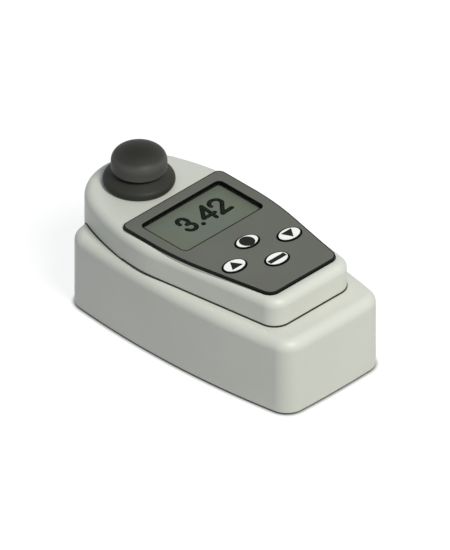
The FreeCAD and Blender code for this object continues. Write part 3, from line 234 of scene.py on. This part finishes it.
def shaded_sides_plastic(name, top, side, roughness, specular, carrier=None):
    """Plastic whose top is one colour, with painted shade: faces that stand upright take a dark side
    colour.

    carrier is the (level, colour) of a third layer underneath."""
    paint = Paint(name, roughness, specular)
    patches = paint.spread(paint.noise(35.0, 3.0), 0.0, 1.0)
    face = paint.mottled(patches, top, 0.95, 1.03)
    grains = paint.spread(paint.noise(1100.0, 1.0), 0.0, 0.2, 0.5, 0.75)
    face = paint.mix(grains, face, shade(linear(top), 0.8))
    # Painted shade: upright faces take the dark side colour, faces that face up keep the top colour.
    layers = paint.mix(paint.facing_up(0.9, 0.99), linear(side), face)
    if carrier:
        level, under = carrier
        layers = paint.mix(paint.above(level), linear(under), layers)
    paint.colour(layers)
    paint.uneven_roughness(roughness - 0.05, roughness + 0.05, 80.0, 3.0)
    paint.bump(paint.noise(3200.0, 2.0, 0.6), 0.12, 0.04 * MM, 0.2 * MM)
    return paint.material


def knob_with_painted_sheen():
    """Black knob: matt dome; painted sheen makes its upright sides lighter; painted shade puts a dark line
    under its lower edge.
    """
    paint = Paint("knob_with_painted_sheen", 0.55, 0.14)
    flow = paint.spread(paint.noise(30.0, 4.0), 0.0, 1.0)
    dome = paint.mottled(flow, KNOB, 0.92, 1.06)
    foot = paint.mottled(flow, KNOB_FOOT, 0.92, 1.06)
    painted_side_sheen = paint.mottled(flow, KNOB_SHEEN_AND_WEAR, 0.9, 1.06)
    # Painted sheen: upright faces take the lighter side colour, faces that face up keep the dark dome
    # colour.
    painted_dome = paint.mix(paint.facing_up(0.55, 0.97), painted_side_sheen, dome)
    lower_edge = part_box("light_shield")[1].z - KNOB_HEIGHT
    # Painted shade: a dark line round the knob's lower edge.
    painted_dome = paint.mix(paint.above(lower_edge + LIP_ABOVE), linear(LINE), painted_dome)
    whole = paint.mix(paint.above(lower_edge - LIP_BELOW), foot, painted_dome)
    paint.colour(paint.mix(paint.worn_edges(0.4 * MM), whole, shade(linear(KNOB_SHEEN_AND_WEAR), 1.1)))
    paint.uneven_roughness(0.48, 0.6, 60.0, 4.0)
    paint.bump(paint.noise(2600.0, 2.0, 0.6), 0.14, 0.06 * MM, 0.3 * MM)
    return paint.material


def rubber(name, colour=RUBBER):
    """Matt rubber with settled dust."""
    paint = Paint(name, 0.75)
    dust = paint.spread(paint.noise(160.0, 5.0), 0.0, 0.25, 0.5, 0.8)
    paint.colour(paint.mix(dust, linear(colour), linear(DUST)))
    paint.bump(paint.noise(1500.0, 3.0, 0.7), 0.3, 0.1 * MM)
    return paint.material


def metal(name, colour, roughness=0.28):
    """Plated or plain metal with a little tarnish."""
    paint = Paint(name, roughness, metallic=1.0)
    tarnish = paint.spread(paint.noise(90.0, 4.0), 0.0, 0.35, 0.4, 0.75)
    paint.colour(paint.mix(tarnish, linear(colour), linear(tuple(channel * 0.72 for channel in colour))))
    paint.uneven_roughness(roughness - 0.06, roughness + 0.1, 400.0, 3.0)
    paint.bump(paint.noise(1800.0, 3.0, 0.6), 0.15, 0.04 * MM, 0.1 * MM)
    return paint.material


def clear(name, colour, alpha, roughness, specular=0.5):
    """Clear plastic, drawn as a thin see-through skin with faint smears."""
    paint = Paint(name, roughness, specular)
    paint.shader.inputs["Alpha"].default_value = alpha
    paint.shader.inputs["IOR"].default_value = 1.49
    haze = paint.spread(paint.noise(120.0, 3.0), 0.0, 1.0)
    smear = tuple(min(255, channel + 6) for channel in colour)
    paint.colour(paint.mix(haze, linear(colour), linear(smear)))
    paint.uneven_roughness(roughness, roughness + 0.06, 300.0, 4.0)
    return paint.material


def glass(name, colour, roughness=0.02):
    """Clear glass with a breath of haze from handling."""
    paint = Paint(name, roughness)
    paint.shader.inputs["Transmission Weight"].default_value = 1.0
    paint.shader.inputs["IOR"].default_value = 1.5
    haze = paint.spread(paint.noise(90.0, 4.0), 0.0, 1.0)
    paint.colour(paint.mottled(haze, colour, 1.0, 0.97))
    paint.uneven_roughness(roughness, roughness + 0.05, 260.0, 4.0)
    return paint.material


def display_glass():
    """Reflective display: grey-green with a faint olive drift and a fine cell texture."""
    paint = Paint("display_glass", 0.45, 0.1)
    drift = paint.spread(paint.noise(26.0), 0.0, 1.0, 0.38, 0.62)
    base = paint.mix(drift, linear(DISPLAY), linear(DISPLAY_OLIVE))
    cells = paint.spread(paint.noise(1400.0, 1.0), 0.0, 0.15, 0.5, 0.7)
    paint.colour(paint.mix(cells, base, shade(linear(DISPLAY), 0.85)))
    paint.bump(paint.noise(5000.0, 1.0), 0.05, 0.02 * MM)
    return paint.material


def circuit_board():
    """Green solder resist over a copper grid."""
    paint = Paint("circuit_board", 0.35)
    cells = paint.node("ShaderNodeTexVoronoi", distance="CHEBYCHEV", feature="DISTANCE_TO_EDGE")
    cells.inputs["Scale"].default_value = 380.0
    paint.link(paint.place, cells.inputs["Vector"])
    tracks = paint.spread(cells.outputs["Distance"], 1.0, 0.0, 0.03, 0.07)
    paint.colour(paint.mix(tracks, linear(BOARD), linear(COPPER_TRACK)))
    paint.bump(tracks, 0.3, 0.04 * MM)
    return paint.material


def cell_sleeve():
    """Shrink sleeve of a round cell: dark body with a copper-toned band at one end."""
    paint = Paint("cell_sleeve", 0.25)
    along = paint.split(paint.place)["Y"]
    on_band = paint.spread(along, 0.0, 1.0, SLEEVE_BAND_START, SLEEVE_BAND_START + SLEEVE_BAND_BLEND)
    paint.colour(paint.mix(on_band, linear(SLEEVE), linear(SLEEVE_BAND)))
    paint.bump(paint.noise(500.0, 3.0), 0.1, 0.05 * MM)
    return paint.material


def dress(material, *nodes):
    """Give CAD nodes their finish."""
    for name in nodes:
        mesh_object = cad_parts[name]
        mesh_object.data.materials.clear()
        mesh_object.data.materials.append(material)


def mesh_piece(name, form, material, body, degrees=35):
    """New piece from a form, shaded softly where faces meet at less than the angle."""
    mesh = bpy.data.meshes.new(name)
    form.to_mesh(mesh)
    form.free()
    piece = bpy.data.objects.new(name, mesh)
    bpy.context.scene.collection.objects.link(piece)
    mesh.materials.append(material)
    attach(piece, body)
    for polygon in mesh.polygons:
        polygon.use_smooth = True
    mesh.set_sharp_from_angle(angle=math.radians(degrees))


def prism(name, outline, bottom, height, material, body):
    """Thin plate from a flat outline of (x, y) points in metres."""
    form = bmesh.new()
    face = form.faces.new([form.verts.new((x, y, bottom)) for x, y in outline])
    raised = bmesh.ops.extrude_face_region(form, geom=[face])
    tops = [item for item in raised["geom"] if isinstance(item, bmesh.types.BMVert)]
    bmesh.ops.translate(form, verts=tops, vec=(0, 0, height))
    bmesh.ops.recalc_face_normals(form, faces=form.faces)
    mesh_piece(name, form, material, body)


def skinned(name, rings, material, body, closed):
    """Solid over rings of (x, y, z) places. The last ring joins the first, or both ends are capped."""
    form = bmesh.new()
    rings = [[form.verts.new(place) for place in ring] for ring in rings]
    for here, there in zip(rings, rings[1:] + rings[:1] if closed else rings[1:]):
        for i in range(len(here)):
            form.faces.new((here[i - 1], here[i], there[i], there[i - 1]))
    if not closed:
        form.faces.new(rings[0])
        form.faces.new(rings[-1])
    bmesh.ops.recalc_face_normals(form, faces=form.faces)
    mesh_piece(name, form, material, body)


def arc(x, y, radius_x, radius_y, start, end, steps=16):
    """Points of an elliptic arc between two angles in degrees."""
    turn = [math.radians(start + (end - start) * i / steps) for i in range(steps + 1)]
    return [(x + radius_x * math.cos(a), y + radius_y * math.sin(a)) for a in turn]


# The display reads 3.42. Its strokes are lists of (x, y) in mm from the middle of the housing.
FIGURE_LOW = 9.6
FIGURE_HIGH = 21.2
THREE = [arc(-7.5, 18.1, 2.6, 2.9, 190, -88), arc(-7.4, 12.6, 2.9, 2.8, 88, -175)]
POINT = [[(-1.25, 9.9), (-0.9, 10.2)]]
FOUR = [[(7.5, FIGURE_LOW), (8.5, FIGURE_HIGH)], [(8.5, FIGURE_HIGH), (2.0, 12.9)],
        [(2.0, 12.9), (9.7, 13.1)]]
TWO = [arc(15.2, 18.1, 3.4, 3.0, 185, -35) + [(11.7, FIGURE_LOW)],
       [(11.7, FIGURE_LOW), (18.4, 10.0)]]
STROKES = THREE + POINT + FOUR + TWO
RIM_RADIUS = 1.2 * MM
RIM_RISE = 0.10 * MM
CORE_RADIUS = 0.45 * MM
CORE_RISE = 0.16 * MM


def make_strokes(name, radius, rise, material):
    """Rounded low strokes of the reading, all in one piece."""
    curve = bpy.data.curves.new(name, "CURVE")
    curve.dimensions = "3D"
    curve.bevel_depth = radius
    curve.bevel_resolution = 4
    for stroke in STROKES:
        spline = curve.splines.new("POLY")
        spline.points.add(len(stroke) - 1)
        for point, (x, y) in zip(spline.points, stroke):
            point.co = (x * MM, y * MM, 0.0, 1.0)
    holder = bpy.data.objects.new(name + "_curve", curve)
    form = bmesh.new()
    form.from_mesh(bpy.data.meshes.new_from_object(holder))
    bpy.data.objects.remove(holder)
    for stroke in STROKES:
        for x, y in (stroke[0], stroke[-1]):
            bmesh.ops.create_uvsphere(form, u_segments=20, v_segments=10, radius=radius,
                                      matrix=Matrix.Translation((x * MM, y * MM, 0.0)))
    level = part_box("lcd_cell")[1].z
    for vertex in form.verts:
        vertex.co.z = level + vertex.co.z * rise / radius
    mesh_piece(name, form, material, "housing", 60)


def make_figures():
    """The reading: near-black strokes with a green-black core."""
    make_strokes("display_figures", RIM_RADIUS, RIM_RISE, ink("segment_rim", SEGMENT_RIM))
    make_strokes("display_figure_cores", CORE_RADIUS, CORE_RISE, ink("segment_core", SEGMENT_CORE))


# Marks on the keys: outlines of (x, y) in mm from the middle of each key.
MARKS = {
    "rear": arc(-0.15, -0.1, 4.05, 4.05, 0, 360, 48)[:-1],
    "left": [(-3.5, -2.2), (3.9, -2.2), (0.3, 3.4)],
    "right": [(3.9, 2.7), (-3.3, 2.7), (-0.2, -3.2)],
    "front": [(-5.5, -1.3), (5.6, -1.3), (5.6, 1.3), (-5.5, 1.3)],
}
MARK_SINK = 0.01 * MM
MARK_HEIGHT = 0.05 * MM


def make_key_marks(material):
    """Printed marks on the keys: a disc behind, two triangles, a bar in front."""
    for key, mark in MARKS.items():
        low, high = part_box(f"{key}_key")
        middle = (low + high) / 2
        outline = [(middle.x + x * MM, middle.y + y * MM) for x, y in mark]
        prism(f"{key}_key_mark", outline, high.z - MARK_SINK, MARK_HEIGHT, material, f"{key}_button")


SAME_PLACE = 0.01 * MM
FACES_UP = 0.999


def flat_edges(node):
    """Edge lines of the flat top of a CAD node, longest first, as lists of (x, y) run anticlockwise."""
    form = bmesh.new()
    form.from_mesh(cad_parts[node].data)
    bmesh.ops.remove_doubles(form, verts=form.verts, dist=SAME_PLACE)
    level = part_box(node)[1].z
    flat = {face for face in form.faces
            if face.normal.z > FACES_UP and abs(face.calc_center_median().z - level) < SAME_PLACE}
    beside = {}
    for edge in form.edges:
        if sum(face in flat for face in edge.link_faces) == 1:
            for vertex, other in (edge.verts, reversed(edge.verts)):
                beside.setdefault(vertex, []).append(other)
    lines = []
    while beside:
        vertex = next(iter(beside))
        line = []
        while vertex in beside:
            line.append(vertex.co.xy.copy())
            vertex = next((other for other in beside.pop(vertex) if other in beside), None)
        turns = sum(a.cross(b) for a, b in zip(line, line[1:] + line[:1]))
        lines.append(line if turns > 0 else line[::-1])
    form.free()
    return sorted(lines, key=lambda line: -sum((b - a).length for a, b in zip(line, line[1:] + line[:1])))


def beyond(line, reach):
    """The closed line moved outwards by reach, or inwards where reach is negative."""
    moved = []
    for before, here, after in zip(line[-1:] + line[:-1], line, line[1:] + line[:1]):
        first = (here - before).normalized()
        second = (after - here).normalized()
        out = Vector((first.y + second.y, -first.x - second.x)) / (1 + first.dot(second))
        moved.append(here + out * reach)
    return moved


def band(name, line, section, material, body):
    """Band along a closed line; section lists its corners as (reach beyond the line, height)."""
    rings = [[(x, y, z) for x, y in beyond(line, reach)] for reach, z in section]
    skinned(name, rings, material, body, closed=True)


# Printed lines: how far they sink into and rise over the surface, and from where to where each
# one reaches beyond the edge that it follows.
LINE_SINK = 0.02 * MM
LINE_RISE = 0.03 * MM
PANEL_BORDER = (-0.4 * MM, 0.05 * MM)
WINDOW_BORDER = (0.0, 0.5 * MM)
OPENING_BORDER = (0.0, 0.35 * MM)
KEY_RIM = (-0.1 * MM, 0.1 * MM)


def printed_line(name, line, reach, level, material, body):
    """Thin printed line along an edge of a flat top at the level."""
    inner, outer = reach
    low = level - LINE_SINK
    high = level + LINE_RISE
    band(name, line, [(inner, low), (outer, low), (outer, high), (inner, high)], material, body)


def make_lines(material):
    """Printed dark borders of the panel, the window, the key openings and the keys."""
    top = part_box("keypad_panel")[1].z
    outside, window, *openings = flat_edges("keypad_panel")
    printed_line("panel_border", outside, PANEL_BORDER, top, material, "housing")
    printed_line("window_border", window, WINDOW_BORDER, top, material, "housing")
    for index, opening in enumerate(openings, start=1):
        printed_line(f"key_border_{index}", opening, OPENING_BORDER, top, material, "housing")
    for key in KEYS:
        rim = flat_edges(f"{key}_key")[0]
        key_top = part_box(f"{key}_key")[1].z
        printed_line(f"{key}_key_rim", rim, KEY_RIM, key_top, material, f"{key}_button")


# The gasket lies this far inside the wall of the upper housing. Its bead stands proud of that
# wall and laps it by a thin lip.
GASKET_INSET = 0.5 * MM
BEAD_PROUD = 0.3 * MM
BEAD_LIP = 0.3 * MM
BEAD_ROOT = 0.3 * MM

# Slit between the tail of the upper housing and the base, and its seal.
TAIL_GAP = 0.35 * MM
SEAL_PLAY = 0.04 * MM
SEAL_STEP = 0.5 * MM


def make_seam_bead(material):
    """Outer lip of the seam gasket, which fills the groove under the upper housing."""
    low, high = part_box("case_gasket")
    bottom = low.z + LINE_SINK
    under_wall = high.z - LINE_SINK
    outside = GASKET_INSET + BEAD_PROUD
    before_wall = GASKET_INSET + LINE_SINK
    section = [
        (-BEAD_ROOT, bottom),
        (outside, bottom),
        (outside, high.z + BEAD_LIP / 2),
        ((outside + before_wall) / 2, high.z + BEAD_LIP),
        (before_wall, high.z + BEAD_LIP),
        (before_wall, under_wall),
        (-BEAD_ROOT, under_wall),
    ]
    band("seam_bead", flat_edges("case_gasket")[0], section, material, "housing")


def node_tree(node):
    """The CAD node's faces, for finding where a ray meets them."""
    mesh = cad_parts[node].data
    return BVHTree.FromPolygons([vertex.co for vertex in mesh.vertices],
                                [polygon.vertices for polygon in mesh.polygons])


def tail_stations(side, start):
    """Where the slit runs on one side: points on the tail's wall, the wall's normal, the base's height."""
    upper = node_tree("upper_shell")
    base = node_tree("base_shell")
    low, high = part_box("base_shell")
    middle = (low.z + high.z) / 2
    above = Vector((0, 0, high.z))
    down = Vector((0, 0, -1))
    stations = []
    y = start
    while y < high.y:
        y += SEAL_STEP
        wall, normal, _, _ = upper.ray_cast(Vector((side * 2 * high.x, y, middle)), Vector((-side, 0, 0)))
        shoulder = base.ray_cast(wall + normal * 2 * TAIL_GAP + above, down)[0]
        if shoulder is None or shoulder.z < middle:
            break
        stations.append((wall, normal, shoulder.z))
    return stations


def make_seam_seals(material):
    """Seals in the slits between the tail of the upper housing and the shoulders of the base."""
    gasket_low, gasket_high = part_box("case_gasket")
    thickness = gasket_high.z - gasket_low.z
    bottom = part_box("base_shell")[0].z + thickness
    for side, name in ((1, "right_seam_seal"), (-1, "left_seam_seal")):
        stations = tail_stations(side, gasket_high.y + TAIL_GAP)
        # One station more, so that the seal starts inside the bead.
        wall, normal, shoulder = stations[0]
        rearwards = Vector((-side * normal.y, side * normal.x, 0))
        stations.insert(0, (wall - rearwards * (2 * TAIL_GAP + SEAL_STEP), normal, shoulder))
        rings = []
        for wall, normal, shoulder in stations:
            near = (wall + normal * SEAL_PLAY).xy
            far = (wall + normal * (TAIL_GAP - SEAL_PLAY)).xy
            top = shoulder + thickness + BEAD_LIP
            rings.append([(*near, bottom), (*far, bottom), (*far, top - BEAD_LIP / 2), (*near, top)])
        skinned(name, rings, material, "housing", closed=False)


def seen_directly(tree):
    """1 for rays from the camera, a reflection or through glass, 0 for rays that carry light."""
    rays = tree.nodes.new("ShaderNodeLightPath")
    value = rays.outputs["Is Camera Ray"]
    for kind in ("Is Glossy Ray", "Is Transmission Ray"):
        either = tree.nodes.new("ShaderNodeMath")
        either.operation = "MAXIMUM"
        tree.links.new(value, either.inputs[0])
        tree.links.new(rays.outputs[kind], either.inputs[1])
        value = either.outputs["Value"]
    return value


# Floor: its grey as light rays meet it and as it is seen, and the glow that makes it show white,
# which fades within a short reach of the object as a painted contact shadow.
FLOOR_SIZE = 6.0
FLOOR_DROP = 0.1 * MM
FLOOR_LIT = 0.5
FLOOR_SEEN = 0.2
FLOOR_GLOW = 0.86
CONTACT_GLOW = 0.02
CONTACT_REACH = 3.0 * MM


def make_stage():
    """Pale floor that shows white and keeps a faint shadow."""
    bpy.ops.mesh.primitive_plane_add(size=FLOOR_SIZE, location=(0, 0, -FLOOR_DROP))
    floor = bpy.context.object
    floor.name = "floor"
    paint = Paint("floor_white", 0.9, 0.0)
    seen = seen_directly(paint.tree)
    paint.colour(paint.mix(seen, grey(FLOOR_LIT), grey(FLOOR_SEEN)))
    paint.shader.inputs["Emission Color"].default_value = grey(1.0)
    # Painted contact shadow: the glow dims where ambient occlusion finds the object close.
    contact = paint.node("ShaderNodeAmbientOcclusion", samples=12)
    contact.inputs["Distance"].default_value = CONTACT_REACH
    glow = paint.node("ShaderNodeMath", operation="MULTIPLY")
    paint.link(seen, glow.inputs[0])
    paint.link(paint.spread(contact.outputs["AO"], CONTACT_GLOW, FLOOR_GLOW, 0.45, 0.9), glow.inputs[1])
    paint.link(glow.outputs["Value"], paint.shader.inputs["Emission Strength"])
    floor.data.materials.append(paint.material)


def make_world(fill):
    """White background; fill is the plain level that it lights the object with."""
    world = bpy.data.worlds.new("studio")
    bpy.context.scene.world = world
    world.use_nodes = True
    tree = world.node_tree
    sky = tree.nodes["Background"]
    tint = tree.nodes.new("ShaderNodeMix")
    tint.data_type = "RGBA"
    tint.inputs["A"].default_value = (*fill, 1.0)
    tint.inputs["B"].default_value = grey(1.0)
    tree.links.new(seen_directly(tree), tint.inputs["Factor"])
    tree.links.new(tint.outputs["Result"], sky.inputs["Color"])
    sky.inputs["Strength"].default_value = 1.0


def make_lamp(name, direction, distance, size, level, colour):
    """Round soft lamp; level is what it adds to a surface that faces it, where 1 shows a colour as is."""
    lamp = bpy.data.lights.new(name, "AREA")
    lamp.shape = "DISK"
    lamp.size = size
    lamp.color = colour
    lamp.energy = level * math.pi ** 2 * (distance ** 2 + (size / 2) ** 2)
    holder = bpy.data.objects.new(name, lamp)
    bpy.context.scene.collection.objects.link(holder)
    away = Vector(direction).normalized()
    holder.location = LAMP_TARGET + away * distance
    holder.rotation_euler = away.to_track_quat("Z", "Y").to_euler()


# The photograph is an isometric view: 45 degrees to the left of the front, 35.26 degrees up.
PIXELS_PER_MM = 2.04124
PHOTO_HEIGHT = 550
VIEW_TARGET = Vector((0.60, -3.12, 31.0)) * MM
VIEW_FROM = Vector((-1, -1, 1))
VIEW_DISTANCE = 1.0
LAMP_TARGET = Vector((0, 0, 30.0)) * MM


def make_camera():
    """Camera of the photograph's frame, without perspective."""
    camera = bpy.data.cameras.new("photo_camera")
    camera.type = "ORTHO"
    camera.ortho_scale = PHOTO_HEIGHT / PIXELS_PER_MM * MM
    camera.clip_end = 10 * VIEW_DISTANCE
    holder = bpy.data.objects.new("photo_camera", camera)
    bpy.context.scene.collection.objects.link(holder)
    back = VIEW_FROM.normalized()
    holder.location = VIEW_TARGET + back * VIEW_DISTANCE
    holder.rotation_euler = back.to_track_quat("Z", "Y").to_euler()
    bpy.context.scene.camera = holder


# Outside of the housing.
dress(moulded("shell_plastic", SHELL, 0.42), "base_shell", "upper_shell", "bottom_cover", "battery_door")
panel_foot = (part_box("upper_shell")[1].z - CARRIER_DEPTH, SHELL)
dress(shaded_sides_plastic("panel_plastic", PANEL, PANEL_SIDE_SHADE, 0.5, 0.12, panel_foot), "keypad_panel")
dress(shaded_sides_plastic("key_plastic", KEY_CAP, KEY_SIDE_SHADE, 0.4, 0.15), *(f"{key}_key" for key in KEYS))
dress(knob_with_painted_sheen(), "light_shield")
dress(clear("window_clear", (120, 128, 114), 0.02, 0.1, 0.2), "display_lens")
dress(display_glass(), "lcd_cell")
dress(rubber("foot_rubber", FOOT_RUBBER), "rubber_feet")

# Vial, well and optics.
dress(moulded("cap_plastic", KNOB, 0.5, 0.7, specular=0.3, wear=0.4 * MM), "vial_cap")
dress(glass("vial_glass", (235, 242, 240)), "sample_vial", "collimating_lens")
dress(clear("epoxy_clear", (210, 214, 222), 0.6, 0.08), "source_led", "scatter_detector",
      "transmitted_detector")
dress(rubber("seal_rubber"), "case_gasket", "well_gasket", "shield_seal", "cap_liner", "zebra_strips")
dress(moulded("black_plastic", INNER_BLACK, 0.5, wear=0.4 * MM), "sample_well", "source_holder",
      "scatter_holder", "transmitted_holder", "lcd_frame", "battery_tray", "switch_housings",
      "board_chips")

# Boards, switches, batteries and fasteners.
dress(circuit_board(), "main_board", "sensor_board")
dress(moulded("ribbon_film", (222, 220, 208), 0.4), "sensor_ribbon")
dress(cell_sleeve(), "battery_cells")
dress(metal("screw_steel", (190, 190, 188)), "board_screws", "cover_screws", "case_screws")
dress(metal("contact_nickel", (205, 203, 196), 0.22), "battery_springs", "battery_contacts",
      "switch_domes")
dress(metal("brass", (196, 160, 88), 0.3), "board_standoffs")
dress(moulded("stem_plastic", (225, 224, 216), 0.35), *(f"{key}_switch_stem" for key in KEYS))

make_figures()
make_key_marks(ink("mark_ink", KEY_MARK, grain=0.4, specular=0.05))
make_lines(ink("line_ink", LINE, roughness=0.6))
make_seam_bead(rubber("bead_rubber"))
make_seam_seals(rubber("lip_rubber"))

make_stage()
make_world(fill=(0.28, 0.304, 0.355))
make_lamp("key_lamp", direction=(-0.107, -0.615, 0.781), distance=3.0, size=1.15, level=0.845,
          colour=(1.0, 0.985, 0.925))
make_camera()
bpy.context.scene.view_settings.view_transform = "Standard"
